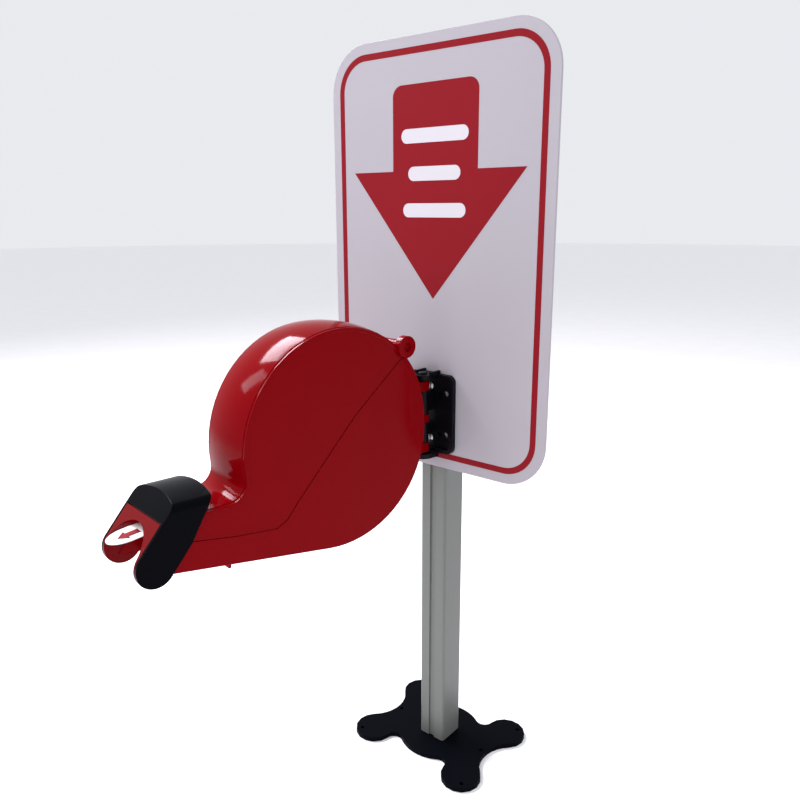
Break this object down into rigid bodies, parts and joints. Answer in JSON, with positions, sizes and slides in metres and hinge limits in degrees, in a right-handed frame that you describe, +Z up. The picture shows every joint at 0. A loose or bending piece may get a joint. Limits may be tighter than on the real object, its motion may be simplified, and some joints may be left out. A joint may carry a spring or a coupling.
{
  "type": "ticket dispenser stand",
  "caption": "Snail shaped take-a-ticket dispenser that swivels on a bracket in front of an arrow sign, on a square pole with a flat foot.",
  "frame": {"origin": "centre of the foot plate's underside, on the pole's axis", "axes": "+Z up along the pole, -Y out of the front of the sign, +X to the right of someone who faces the sign"},
  "size_m": [0.245, 0.3957, 0.699],
  "materials": {
    "foot_black": "satin black powder coat",
    "screw_steel": "zinc plated",
    "pole_aluminium": "fine satin anodised",
    "cap_black": "matte",
    "sign_white": "satin printed panel",
    "bracket_black": "moulded, semi-matte",
    "shell_red": "gloss",
    "cover_red": "high gloss",
    "nose_red": "semi-gloss",
    "saddle_black": "semi-gloss",
    "latch_red": "semi-gloss",
    "spindle_white": "matte",
    "core_card": "raw board",
    "ticket_paper": "matte paper",
    "pin_black": "blackened steel"
  },
  "bodies": {
    "stand": {"foot_plate": "foot_black", "foot_screw_1": "screw_steel", "foot_screw_2": "screw_steel", "foot_screw_3": "screw_steel", "foot_screw_4": "screw_steel", "pole": "pole_aluminium", "pole_cap": "cap_black", "sign_panel": "sign_white", "bracket": "bracket_black", "fixing_screw_lower": "screw_steel", "fixing_nut_lower": "screw_steel", "fixing_screw_upper": "screw_steel", "fixing_nut_upper": "screw_steel", "swivel_pin": "pin_black"},
    "dispenser": {"rear_shell": "shell_red", "hinge_pin": "cover_red", "spindle": "spindle_white", "ticket_web": "ticket_paper"},
    "cover": {"front_cover": "cover_red", "snout_saddle": "saddle_black", "nose": "nose_red", "cheek_screw_right": "cap_black", "cheek_screw_left": "cap_black", "brake_spring": "screw_steel"},
    "roll": {"roll_core": "core_card", "ticket_roll": "ticket_paper"},
    "ticket": {"ticket": "ticket_paper"},
    "latch": {"latch_tab": "latch_red"}
  },
  "joints": [
    {"name": "swivel", "type": "hinge", "parent": "stand", "child": "dispenser", "pos_m": [0, -0.032, 0.362], "axis": [0, 0, 1], "range_deg": [-27, 43]},
    {"name": "cover_hinge", "type": "hinge", "parent": "dispenser", "child": "cover", "pos_m": [-0.00658, -0.07884, 0.4387], "axis": [-0.9903, 0.1392, 0], "range_deg": [0, 75]},
    {"name": "roll_spin", "type": "hinge", "parent": "dispenser", "child": "roll", "pos_m": [-0.01606, -0.14628, 0.3698], "axis": [-0.9903, 0.1392, 0], "range_deg": [0, 40]},
    {"name": "ticket_pull", "type": "slide", "parent": "dispenser", "child": "ticket", "axis": [-0.1392, -0.9903, 0], "range_m": [0, 0.042]},
    {"name": "latch_slide", "type": "slide", "parent": "dispenser", "child": "latch", "axis": [0.1392, 0.9903, 0], "range_m": [0, 0.003], "stiffness_N_per_m": 300}
  ],
  "couplings": [
    {"joint": "ticket_pull", "follows": "roll_spin", "m_per_rad": 0.0586}
  ]
}
